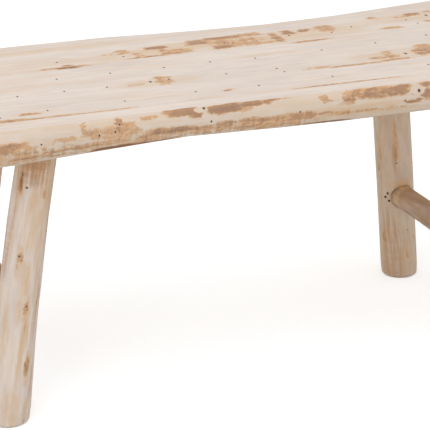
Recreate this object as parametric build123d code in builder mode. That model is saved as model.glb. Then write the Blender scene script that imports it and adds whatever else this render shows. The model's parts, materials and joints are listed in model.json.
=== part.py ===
"""Rustic log bench: five peeled poles glued up into a planed seat, four splayed pole legs with
tenons in blind sockets, and a pole stretcher between the two legs at each end.

Frame: millimetres, +X along the bench, +Y towards its back, +Z up. The origin is on the floor,
under the middle of the seat.
"""

from build123d import *
import os
from math import acos, asin, copysign, cos, pi, sin, sqrt

# ---------------------------------------------------------------- driving dimensions
seat_length = 1000
seat_height = 450  # planed top of the seat above the floor

# The seat is a row of poles; these are the glued seams between them, from front to back.
seam_y = [-168, -92, -14, 46]
log_stations = 9  # sections drawn along each log
curve_points = 9  # points drawn along the natural curve of each section

front_log_y = -181
front_log_z = 430
front_log_radii = [34, 32, 28, 24.5, 26.5, 27.5, 27, 27.5, 28]  # left end to right end
front_log_drop = 0.5  # how far the axis sinks for each millimetre that the log is thicker
inner_log_radius = 100  # round of the logs' undersides
inner_log_bottom = 403.5
inner_log_wander = 1.5  # how far the undersides stray up and down
back_log_z = 427.5
back_log_half_height = 26
back_log_edge = [192, 192, 192, 190, 178, 171, 179, 196, 214.3]  # natural edge, left to right
back_log_nose = 88  # how far in from that edge the rounding reaches underneath
back_log_fullness = 3  # 2 is an ellipse, and more is fuller at the corners

leg_top = (317, 121)  # leg axes at the underside of the seat, from the middle of the bench
front_foot = (383, 151)  # the same axes on the floor
rear_foot = (366, 155)
leg_top_height = 404
leg_tenon_radius = 19
leg_tenon_length = 22
leg_shoulder_height = 413  # the leg's full end is let into the seat up to here
leg_housing_radius = 29.6
leg_stations = [127, 171, 300]  # heights of the sections between foot and shoulder
leg_twist = 1  # radians that the pole's lobes turn, from foot to shoulder
leg_run_in = 25  # how far below the seat the leg's bore is started
foot_chamfer = 3
end_chamfer = 2  # eased top edge of the seat's sawn ends

stretcher_height = 149
stretcher_radius = 18.5
stretcher_tenon_radius = 13
stretcher_tenon_length = 24
stretcher_seat = 20  # distance from the leg's axis to the stretcher's shoulder
stretcher_housing_radius = 19.4
stretcher_stations = 4
stretcher_run_in = 20  # how far outside the leg the stretcher's bore is started
stretcher_rise = 1.5  # natural bow, upwards in the middle

socket_gap = 1  # room for glue behind the end of each tenon
tenon_gap = 0.1  # radial room for glue round each tenon
tenon_chamfer = 1.5

tongue_size = (60, 50, 8)  # loose tongues: along the seam, across it and thickness
tongue_gap = 1  # room for glue, along and across
tongue_height = 427
tongue_x = [-440, -180, 180, 440]

brad_size = 1.8  # square shank
brad_length = 24
brad_head_size = 3.2
brad_head_length = 1.2
brad_turn = 49  # degrees between the brads and the stretcher that they pin
brad_places = [(0, 6), (4, -1), (-2, -7)]  # sideways and up, from the stretcher's axis


def shares(count):
    """Evenly spaced places from 0 at one end of a pole to 1 at the other."""
    return [i / (count - 1) for i in range(count)]


# ---------------------------------------------------------------- sections of the seat's logs
# Each function gives a log's finished section, sawn at its seams and planed on top, as two lists
# of (y, z) points: its natural curve, and the sawn corners that close it.
def front_log(i, x):
    """Natural round front, from the arris of the planed top to the foot of the seam."""
    radius = front_log_radii[i]
    axis_z = front_log_z - front_log_drop * (radius - min(front_log_radii))
    start = pi - asin((seat_height - axis_z) / radius)
    finish = 2 * pi - acos((seam_y[0] - front_log_y) / radius)
    natural = []
    for share in shares(curve_points):
        angle = start + (finish - start) * share
        natural.append((front_log_y + radius * cos(angle), axis_z + radius * sin(angle)))
    return natural, [(seam_y[0], seat_height)]


def inner_log(front_seam, back_seam, seed):
    """Sawn on both sides, with a natural round underside that strays a little."""

    def section(i, x):
        half = (back_seam - front_seam) / 2
        stray = inner_log_wander * (0.7 * sin(x / 150 + seed) + 0.3 * sin(x / 63 + 2.3 * seed))
        natural = []
        for share in shares(curve_points):
            y = half * (2 * share - 1)
            rise = inner_log_radius - sqrt(inner_log_radius**2 - y**2)
            natural.append((front_seam + half + y, inner_log_bottom + stray + rise))
        return natural, [(back_seam, seat_height), (front_seam, seat_height)]

    return section


def back_log(i, x):
    """Sawn along its front, with a broad, gently rounded natural edge and a flat underside."""
    power = 2 / back_log_fullness
    start = asin(((seat_height - back_log_z) / back_log_half_height) ** (1 / power))
    natural = []
    for share in shares(curve_points):
        angle = start - (start + pi / 2) * share
        inward = back_log_nose * (1 - max(cos(angle), 0) ** power)
        up = back_log_half_height * copysign(abs(sin(angle)) ** power, angle)
        natural.append((back_log_edge[i] - inward, back_log_z + up))
    return natural, [(seam_y[3], natural[-1][1]), (seam_y[3], seat_height)]


seat_logs = {
    "seat_pole_front": (front_log, None, seam_y[0]),
    "seat_pole_second": (inner_log(seam_y[0], seam_y[1], 0.4), seam_y[0], seam_y[1]),
    "seat_pole_centre": (inner_log(seam_y[1], seam_y[2], 2.1), seam_y[1], seam_y[2]),
    "seat_pole_fourth": (inner_log(seam_y[2], seam_y[3], 4.4), seam_y[2], seam_y[3]),
    "seat_pole_back": (back_log, seam_y[3], None),
}


def knobbly_round(radius, phase, count=10):
    """Points of a slightly three-lobed round, as a peeled pole has."""
    points = []
    for i in range(count):
        angle = 2 * pi * i / count
        r = radius * (1 + 0.012 * cos(2 * angle + phase) + 0.01 * cos(3 * angle - 2 * phase))
        points.append((r * cos(angle), r * sin(angle)))
    return points


# ---------------------------------------------------------------- legs' and stretchers' axes
class Leg:
    """One leg: its axis from the floor to its shoulder in the seat, and how it is grown."""

    def __init__(self, name, side, end, foot, foot_radius, shoulder_radius, bow, seed):
        self.name = name
        self.side, self.end = side, end  # -1 left or +1 right, and -1 front or +1 rear
        self.foot = Vector(side * foot[0], end * foot[1], 0)
        top = Vector(side * leg_top[0], end * leg_top[1], leg_top_height)
        self.direction = (top - self.foot).normalized()
        self.shoulder = self.at_height(leg_shoulder_height)
        self.foot_radius, self.shoulder_radius = foot_radius, shoulder_radius
        self.bow, self.seed = bow, seed

    def at_height(self, z):
        return self.foot + self.direction * (z / self.direction.Z)

    def radius_at(self, z):
        share = z / leg_shoulder_height
        return self.foot_radius + (self.shoulder_radius - self.foot_radius) * share

    def plane_at(self, z, normal):
        """A plane through the bowed pole's centre at height z."""
        share = z / leg_shoulder_height
        outward = Vector(self.side, 0, 0) * self.bow * 4 * share * (1 - share)
        return Plane(origin=self.at_height(z) + outward, x_dir=(1, 0, 0), z_dir=normal)


legs = [
    Leg("leg_front_left", -1, -1, front_foot, 28.8, 27.0, 5.0, 0.3),
    Leg("leg_front_right", 1, -1, front_foot, 28.6, 28.0, 2.5, 1.9),
    Leg("leg_rear_left", -1, 1, rear_foot, 28.7, 28.2, 2.0, 3.2),
    Leg("leg_rear_right", 1, 1, rear_foot, 28.9, 28.6, 1.0, 4.9),
]
leg_by_place = {(leg.side, leg.end): leg for leg in legs}


def stretcher_plane(side, end):
    """Plane across an end stretcher at its shoulder, its normal pointing into the leg."""
    here = leg_by_place[side, end].at_height(stretcher_height)
    there = leg_by_place[side, -end].at_height(stretcher_height)
    into_leg = (here - there).normalized()
    return Plane(origin=here - into_leg * stretcher_seat, x_dir=(0, 0, 1), z_dir=into_leg)


def brad_planes(leg):
    """Planes at the leg's surface, their normals pointing along the brads into the leg."""
    centre = leg.at_height(stretcher_height)
    into_leg = stretcher_plane(leg.side, leg.end).z_dir
    heading = into_leg.rotate(Axis.Z, -brad_turn * leg.side * leg.end)
    across = Vector(0, 0, 1).cross(heading)
    planes = []
    for sideways, up in brad_places:
        entry = centre + across * sideways * leg.side * leg.end + Vector(0, 0, up)
        radius = leg.radius_at(stretcher_height)
        start = entry - heading * sqrt(radius**2 - sideways**2)
        planes.append(Plane(origin=start, z_dir=heading))
    return planes


def add_brad(plane, mode):
    """A brad driven in along the plane's normal, its head flush with the surface."""
    along = (Align.CENTER, Align.CENTER, Align.MIN)
    with Locations(plane):
        Box(brad_size, brad_size, brad_length, align=along, mode=mode)
        Box(brad_head_size, brad_head_size, brad_head_length, align=along, mode=mode)


def write(part, label):
    part.label = label
    export_step(part, f"parts/{label}.step")


os.makedirs("parts", exist_ok=True)

# ---------------------------------------------------------------- seat poles
for label, (section, front_seam, back_seam) in seat_logs.items():
    with BuildPart() as seat_pole:
        for i, share in enumerate(shares(log_stations)):
            x = seat_length * (share - 0.5)
            natural, corners = section(i, x)
            with BuildSketch(Plane.YZ.offset(x)):
                with BuildLine():
                    Spline(natural)
                    Polyline(natural[-1], *corners, natural[0])
                make_face()
        loft(ruled=True)

        # eased top edge at both sawn ends
        for end in (-1, 1):
            start = (end * seat_length / 2, 0, seat_height - end_chamfer)
            ease = Plane(origin=start, x_dir=(0, 1, 0), z_dir=(end, 0, 1))
            split(bisect_by=ease, keep=Keep.BOTTOM)

        # blind counterbored sockets for the legs that stand under this pole
        low = -seat_length if front_seam is None else front_seam
        high = seat_length if back_seam is None else back_seam
        for leg in legs:
            if low < leg.shoulder.Y < high:
                mouth = leg.at_height(leg_top_height - leg_run_in)
                depth = (leg.shoulder - mouth).length
                with Locations(Plane(origin=mouth, x_dir=(1, 0, 0), z_dir=-leg.direction)):
                    CounterBoreHole(
                        leg_tenon_radius + tenon_gap,
                        leg_housing_radius,
                        depth,
                        depth + leg_tenon_length + socket_gap,
                    )

        # blind mortises for the loose tongues across each seam
        for seam in (front_seam, back_seam):
            if seam is not None:
                for x in tongue_x:
                    with Locations((x, seam, tongue_height)):
                        along, across, thick = tongue_size
                        Box(along + 2 * tongue_gap, across + 2 * tongue_gap, thick, mode=Mode.SUBTRACT)
    write(seat_pole.part, label)

# ---------------------------------------------------------------- seam tongues
with BuildPart() as seam_tongues:
    with Locations([(x, seam, tongue_height) for seam in seam_y for x in tongue_x]):
        Box(*tongue_size)
write(seam_tongues.part, "seam_tongues")

# ---------------------------------------------------------------- legs
for leg in legs:
    with BuildPart() as leg_part:
        # the natural pole: its foot sawn level and eased, and its shoulder square to its axis
        sections = [(0, foot_chamfer, Vector(0, 0, 1)), (foot_chamfer, 0, Vector(0, 0, 1))]
        sections += [(z, 0, leg.direction) for z in leg_stations + [leg_shoulder_height]]
        for z, inset, normal in sections:
            twist = leg_twist * z / leg_shoulder_height
            outline = knobbly_round(leg.radius_at(z) - inset, leg.seed + twist)
            with BuildSketch(leg.plane_at(z, normal)):
                with BuildLine():
                    Spline(outline, periodic=True)
                make_face()
        loft(ruled=True)

        # turned tenon on top
        with BuildSketch(leg.plane_at(leg_shoulder_height, leg.direction)):
            Circle(leg_tenon_radius)
        extrude(amount=leg_tenon_length)
        chamfer(leg_part.edges().group_by(Axis.Z)[-1], tenon_chamfer)

        # counterbored socket for the stretcher
        seat_plane = stretcher_plane(leg.side, leg.end)
        mouth = seat_plane.origin - seat_plane.z_dir * stretcher_run_in
        with Locations(Plane(origin=mouth, x_dir=(0, 0, 1), z_dir=-seat_plane.z_dir)):
            CounterBoreHole(
                stretcher_tenon_radius + tenon_gap,
                stretcher_housing_radius,
                stretcher_run_in,
                stretcher_run_in + stretcher_tenon_length + socket_gap,
            )
        for plane in brad_planes(leg):
            add_brad(plane, Mode.SUBTRACT)
    write(leg_part.part, leg.name)

# ---------------------------------------------------------------- end stretchers
for side, label in ((-1, "stretcher_left"), (1, "stretcher_right")):
    front, rear = stretcher_plane(side, -1), stretcher_plane(side, 1)
    run = rear.origin - front.origin
    with BuildPart() as stretcher:
        # the natural pole, shoulder to shoulder
        for share in shares(stretcher_stations):
            point = front.origin + run * share + Vector(0, 0, stretcher_rise) * sin(pi * share)
            outline = knobbly_round(stretcher_radius, share - side)
            with BuildSketch(Plane(origin=point, x_dir=(0, 0, 1), z_dir=run.normalized())):
                with BuildLine():
                    Spline(outline, periodic=True)
                make_face()
        loft(ruled=True)

        # turned tenons
        for plane in (front, rear):
            with BuildSketch(plane):
                Circle(stretcher_tenon_radius)
            extrude(amount=stretcher_tenon_length)
        chamfer(stretcher.edges().group_by(Axis.Y)[0], tenon_chamfer)
        chamfer(stretcher.edges().group_by(Axis.Y)[-1], tenon_chamfer)
        for end in (-1, 1):
            for plane in brad_planes(leg_by_place[side, end]):
                add_brad(plane, Mode.SUBTRACT)
    write(stretcher.part, label)

# ---------------------------------------------------------------- brads
with BuildPart() as brads:
    for leg in legs:
        for plane in brad_planes(leg):
            add_brad(plane, Mode.ADD)
write(brads.part, "stretcher_brads")
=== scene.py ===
"""Visual model of a rustic log bench: a planed seat of five peeled poles on four splayed pole legs,
with a pole stretcher at each end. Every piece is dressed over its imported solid.

Metres. +X runs along the bench, +Y towards its back and +Z up, from the middle of its outline on
the floor.
"""

import json
import math
from functools import reduce

import bmesh
import bpy
from bpy.props import FloatProperty, FloatVectorProperty, PointerProperty
from mathutils import Color, Euler, Matrix, Vector

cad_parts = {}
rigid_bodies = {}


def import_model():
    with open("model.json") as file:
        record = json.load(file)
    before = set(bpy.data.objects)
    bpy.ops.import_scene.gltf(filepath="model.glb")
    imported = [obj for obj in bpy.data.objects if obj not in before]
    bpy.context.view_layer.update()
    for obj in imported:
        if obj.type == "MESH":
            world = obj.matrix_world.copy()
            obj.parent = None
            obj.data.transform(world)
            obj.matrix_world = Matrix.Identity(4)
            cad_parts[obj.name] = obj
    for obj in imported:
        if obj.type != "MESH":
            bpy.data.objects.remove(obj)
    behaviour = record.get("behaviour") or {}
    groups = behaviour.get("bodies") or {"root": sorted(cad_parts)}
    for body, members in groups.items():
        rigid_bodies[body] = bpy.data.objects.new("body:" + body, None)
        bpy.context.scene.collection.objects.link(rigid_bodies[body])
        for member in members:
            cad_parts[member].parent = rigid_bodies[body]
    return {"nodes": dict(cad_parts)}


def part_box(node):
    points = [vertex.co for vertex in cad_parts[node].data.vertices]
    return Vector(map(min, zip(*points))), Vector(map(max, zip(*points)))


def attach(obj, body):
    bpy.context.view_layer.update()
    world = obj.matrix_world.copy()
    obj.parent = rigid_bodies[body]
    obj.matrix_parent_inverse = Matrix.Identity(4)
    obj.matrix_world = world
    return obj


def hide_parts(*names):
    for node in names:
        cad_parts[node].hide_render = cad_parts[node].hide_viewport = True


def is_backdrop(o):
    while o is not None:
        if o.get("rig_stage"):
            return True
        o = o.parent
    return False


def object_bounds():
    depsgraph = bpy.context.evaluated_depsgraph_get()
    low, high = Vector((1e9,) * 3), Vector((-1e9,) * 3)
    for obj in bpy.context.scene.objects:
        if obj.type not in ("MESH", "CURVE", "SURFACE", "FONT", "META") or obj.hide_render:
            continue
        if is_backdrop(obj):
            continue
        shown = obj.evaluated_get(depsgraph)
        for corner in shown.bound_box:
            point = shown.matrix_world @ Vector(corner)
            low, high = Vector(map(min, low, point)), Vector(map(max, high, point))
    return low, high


bl_info = {
    "name": "Rustic Log Bench",
    "version": (1, 0, 0),
    "blender": (4, 5, 0),
    "location": "3D View > Sidebar > Log Bench",
    "description": "Dresses the solids of a rustic log bench as peeled and planed wood",
    "category": "Object",
}

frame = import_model()
cad_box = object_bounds()

SEAT_TOP = 0.450
SEAT_END = 0.500
CHATTER_HEIGHTS = (0.426, 0.438)  # between them chatter goes from its first value to its second
HAIR = 0.0004  # a point this near to a planed or sawn face counts as on it
PAST_SEAT = 0.1  # how far a cutter reaches past the natural side of the seat
RIPPLES_STAND = 0.0012  # how far the ripples of a round pole stand out from its solid
FOOT_EDGE = 0.002  # the ripples of a leg start above this height,
FOOT_FADE = 0.020  # and come in over this much more
CORE = 0.72  # the reach of a pin knot's dark core, as a share of the knot's radius
BRAD_HEAD = 0.0015  # points of a brad this near to its outermost one are its head's
EASED = 0.0004  # how wide the edges of a brad are eased
LIGHTS_AIM = (0, 0, 0.3)  # the middle of the bench, which the lights point at

# ------------------------------------------------------------------------------------- marks
# The marks in the wood of each piece, in millimetres. A stain, a patch of the inner bark that the
# peeling left and a smudge are (x, y, z, reach along the grain, reach across it, strength), the
# pale eye round a large knot is (x, y, z, reach along, reach across), a pin knot is (x, y, z,
# radius) and a swell is (x, y, z, radius, rise). A mark with no z lies on the planed top. The
# smudges are partly dirt and partly painted shade: they darken the sides of the legs, their tops
# under the seat, the rounded back edge of the seat and the lower edge of its front face. A few
# stains and patches paint shade or light too, as noted where they stand.
#
# seams are the y of a seat pole's two sawn sides, and pith is the y and z of its heart. scattered,
# skin and mottle are the strengths of scattered bark, of a stain all over the natural faces and of
# a cloudy tone. chatter is how far bark breaks into bars across the grain, low down on the pole and
# high up on it, and amber is how far bark turns yellow.
SEAT_POLES = {
    "seat_pole_front": {
        "label": "Front seat pole", "seams": (None, -168), "pith": (-181, 427), "seed": 1.7,
        "scattered": 0.55, "skin": 0.62, "chatter": (1.9, 1.0), "amber": 0.42,
        "stains": [
            (-100, -205, 421, 430, 12, 1.0), (-255, -208, 434, 72, 13, 0.85),
            (118, -208, 423, 90, 11, 1.3), (-60, -202, 444, 175, 6, 0.6),
            (150, -204, 441, 110, 10, 0.75), (-385, -212, 428, 95, 10, 0.85),
            (350, -206, 434, 150, 13, 0.7),
        ],
        "grime_and_shade_marks": [
            # The four smudges at a height of 408.5 are painted shade along the lower edge of the front
            # face.
            (-234, -198, 408.5, 40, 5.0, 1.5), (-186, -198, 408.5, 46, 4.0, 1.3),
            (87, -197, 408.5, 30, 4.0, 1.5), (60, -197, 408.5, 40, 3.0, 0.9),
            (-136, -198, 449.6, 28, 1.0, 0.8), (-50, -198, 449.6, 52, 1.2, 1.1),
            (-330, -208, 415, 60, 2.2, 0.6), (-258, -207, 416, 60, 2.0, 0.5),
            (-394, -213, 427, 13, 4.5, 0.55), (-190, -202, 411, 190, 8, 0.14),
            (-380, -209, 414, 70, 10, 0.16), (110, -208, 422, 60, 7, 0.16),
            (34, -208, 422, 20, 5.0, 0.42), (136, -208, 425, 15, 4.0, 0.28),
            (166, -208, 423, 15, 4.0, 0.32),
        ],
        "patches": [
            (-200, -204, 414, 150, 10, 0.44), (-60, -203, 413, 120, 7, 0.42),
            (-360, -209, 414, 80, 14, 0.46), (-278, -206, 442, 5, 8, 0.8),
            (-250, -208, 434, 34, 8, 0.68), (-229, -204, 443, 6, 8, 0.95),
            (-212, -207, 435, 14, 10, 0.75), (-243, -209, 429, 30, 4, 0.6),
            (-181, -202, 446, 15, 3, 0.7), (-136, -199, 448, 26, 6, 1.3), (-115, -202, 442, 10, 4, 0.9),
            (-91, -199, 448, 7, 4, 0.95), (-74, -200, 446, 24, 7, 1.4), (-34, -199, 448.5, 26, 4, 1.1),
            (0, -198, 449.5, 26, 1.6, 1.3), (-46, -203, 443, 14, 3.5, 0.55),
            (75, -204, 443, 6, 6, 0.66), (110, -204, 443, 10, 9, 0.85), (120, -202, 446, 18, 6, 0.8),
            (152, -203, 444, 28, 8, 1.05), (182, -204, 443, 18, 7.5, 1.05),
            (197, -201, 447, 12, 3, 1.2), (207, -208, 425.5, 11, 2.2, 1.6), (197, -208, 428, 4, 2, 1.2),
            (217, -208, 427.5, 4, 2, 1.2), (230, -206, 434, 8, 9, 0.9), (227, -201, 447, 10, 4, 0.9),
            (-388, -213, 429, 16, 8, 1.12), (-368, -213, 431, 14, 5, 0.65),
            (-356, -208, 411, 40, 2.5, 0.8), (-300, -208, 416, 45, 2.6, 0.85),
            (-264, -208, 419, 30, 4, 0.68), (-306, -211, 431, 18, 3.5, 0.5),
            (-225, -208, 426, 30, 6, 0.62), (-172, -206, 425, 24, 6, 0.76),
            (-140, -205, 424, 24, 5, 0.75), (-106, -205, 422, 26, 4.5, 0.74),
            (-60, -205, 421, 30, 9, 0.7), (-36, -205, 421, 14, 9, 0.88), (-8, -206, 422, 26, 7, 0.76),
            (36, -207, 423, 26, 6, 0.92), (72, -208, 424, 16, 2.5, 0.75),
            (97, -208, 421, 18, 3.5, 0.62), (134, -208, 420, 22, 3.0, 0.58),
            (176, -207, 419, 24, 3.5, 0.56), (104, -208, 434, 14, 3.0, 0.5),
        ],
        "eyes": [(-109, -199, 448, 11, 5), (215, -205, 441, 12, 8.5)],
        "knots": [
            (-104, -198, 449, 2.6), (-96, -206, 431, 1.7), (-258, -209, 431, 1.7),
            (-235, -208, 433, 1.7), (-228, -205, 442, 1.5), (-340, -212, 429, 1.7),
            (217, -206, 440, 2.8), (35, -208, 430, 1.7),
        ],
        "swells": [
            (-108, -201, 446, 11, 0.7), (217, -206, 440, 14, 1.1), (-96, -206, 431, 8, 0.4),
            (-258, -209, 431, 9, 0.5),
        ],
    },
    "seat_pole_second": {
        "label": "Second seat pole", "seams": (-168, -92), "pith": (-124, 421), "seed": 5.2,
        "scattered": 0.6, "skin": 0.5,
        "stains": [
            (-335, -142, 34, 8, 0.6), (-345, -164, 135, 8, 0.6), (-44, -139, 16, 6, 0.5),
            (120, -166, 115, 5, 0.6), (-440, -130, 60, 10, 0.4),
        ],
        "patches": [
            (-337, -142, 13, 5, 0.75), (-375, -165, 40, 8, 0.8), (-318, -166, 45, 5, 0.72),
            (-255, -167, 60, 3.5, 0.6), (-44, -139, 8, 4, 0.6), (90, -167, 45, 4.5, 0.8),
            (160, -167, 55, 3.5, 0.75), (172, -93, 45, 3, 0.7),
        ],
        "knots": [
            (-309, -137, 1.7), (-197, -134, 1.6), (-91, -129, 1.7), (2, -134, 1.8), (116, -131, 1.7),
            (268, -128, 1.7), (-378, -145, 1.5), (402, -131, 1.7),
        ],
    },
    "seat_pole_centre": {
        "label": "Centre seat pole", "seams": (-92, -14), "pith": (-58, 418), "seed": 9.4,
        "scattered": 0.6, "skin": 0.5,
        "stains": [
            (-120, -68, 58, 15, 0.75), (-175, -72, 34, 8, 0.55), (265, -66, 95, 24, 0.85),
            (178, -90, 70, 5, 0.5), (-400, -40, 110, 10, 0.35),
        ],
        "patches": [
            (-115, -62, 14, 17, 0.72), (-118, -78, 9, 8, 0.7), (-160, -72, 16, 5, 0.55),
            (178, -92, 50, 3, 0.7), (113, -86, 22, 6, 0.45), (236, -64, 12, 17, 0.66),
            (215, -73, 16, 6, 0.6), (236, -89, 26, 5, 0.75), (300, -58, 18, 24, 0.85),
            (282, -67, 9, 16, 0.8),
        ],
        "knots": [
            (-331, -64, 1.7), (-263, -64, 1.7), (-201, -67, 1.7), (-136, -65, 2.5), (-108, -64, 1.7),
            (-22, -67, 1.7), (55, -69, 1.8), (60, -87, 1.7), (260, -67, 2.6), (388, -61, 1.7),
        ],
    },
    "seat_pole_fourth": {
        "label": "Fourth seat pole", "seams": (-14, 46), "pith": (19, 423), "seed": 13.1,
        "scattered": 0.6, "skin": 0.5,
        "stains": [
            (-225, 42, 80, 7, 0.6), (72, 0, 62, 8, 0.6), (-400, 38, 120, 9, 0.5), (150, 42, 60, 5, 0.5),
            (400, 10, 60, 10, 0.5),
        ],
        "grime_and_shade_marks": [(-228, 39, 17, 3.8, 1.7)],
        "patches": [
            (-228, 39.5, 19, 5.5, 1.5), (-252, 42, 15, 3, 0.85), (-206, 41, 13, 3, 0.85),
            (156, 41, 32, 4.5, 0.85), (420, 20, 22, 6, 0.6),
        ],
        "knots": [
            (-257, -7, 1.7), (-177, -7, 1.7), (-96, -8, 1.8), (-24, -6, 1.7), (44, -12, 1.8),
            (151, -8, 1.7), (240, -3, 1.7), (329, 8, 1.9), (-395, -4, 1.7), (424, 3, 1.7),
        ],
    },
    "seat_pole_back": {
        "label": "Back seat pole", "seams": (46, None), "pith": (112, 424), "seed": 17.6,
        "scattered": 0.72, "skin": 0.5,
        "stains": [
            (30, 74, 190, 26, 1.1), (-120, 68, 62, 20, 0.75), (345, 104, 70, 20, 0.8),
            # The stains from y 167 to 200 darken the band along the rounded back edge: painted shade.
            (-330, 66, 180, 12, 0.4), (-218, 76, 13, 9, 0.55), (-330, 181, 150, 9, 0.5),
            (-80, 182, 120, 8, 0.45), (110, 167, 130, 7, 0.4), (270, 172, 70, 8, 0.5),
            (380, 188, 70, 12, 0.6), (460, 200, 50, 14, 0.6), (-240, 132, 170, 11, 0.72),
            (100, 136, 200, 6, 0.4), (200, 82, 60, 22, 0.7),
        ],
        # These smudges are painted shade: a darker band along the rounded back edge.
        "grime_and_shade_marks": [
            (-300, 185, 260, 16, 0.3), (-60, 186, 90, 16, 0.3), (30, 180, 60, 16, 0.3),
            (110, 171, 90, 15, 0.3), (200, 168, 60, 14, 0.3), (290, 178, 60, 15, 0.3),
            (370, 194, 60, 16, 0.3), (450, 204, 60, 16, 0.3),
        ],
        "patches": [
            (-226, 49, 9, 4, 1.0), (-153, 80, 12, 4, 0.5), (-130, 84, 10, 11, 0.72),
            (-112, 63, 9, 12, 0.62), (-99, 48, 34, 5, 0.85), (-75, 87, 19, 8, 1.05),
            (-71, 66, 6, 20, 0.7), (-50, 60, 24, 12, 0.66), (-8, 92, 20, 12, 1.1),
            (36, 101, 34, 7, 1.1), (19, 58, 16, 10, 1.1), (45, 72, 48, 24, 0.61),
            (78, 103, 18, 9, 0.75), (92, 60, 26, 8, 0.45), (112, 74, 9, 24, 0.95),
            (137, 92, 10, 12, 0.95), (165, 93, 10, 7, 0.8), (199, 92, 17, 18, 0.55),
            (356, 117, 13, 8, 0.95), (336, 110, 18, 5, 0.62), (383, 124, 9, 5, 0.7),
            (296, 61, 17, 6, 0.65), (287, 120, 9, 5, 0.6), (364, 76, 7, 5, 0.7), (440, 88, 26, 14, 0.7),
        ],
        "knots": [
            (-234, 69, 1.7), (-134, 63, 1.7), (41, 71, 1.8), (28, 74, 1.6), (134, 78, 1.8),
            (200, 69, 1.6), (240, 87, 1.7), (334, 92, 1.7), (374, 104, 2.6), (344, 70, 1.5),
            (-402, 96, 1.8),
        ],
    },
}

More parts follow.
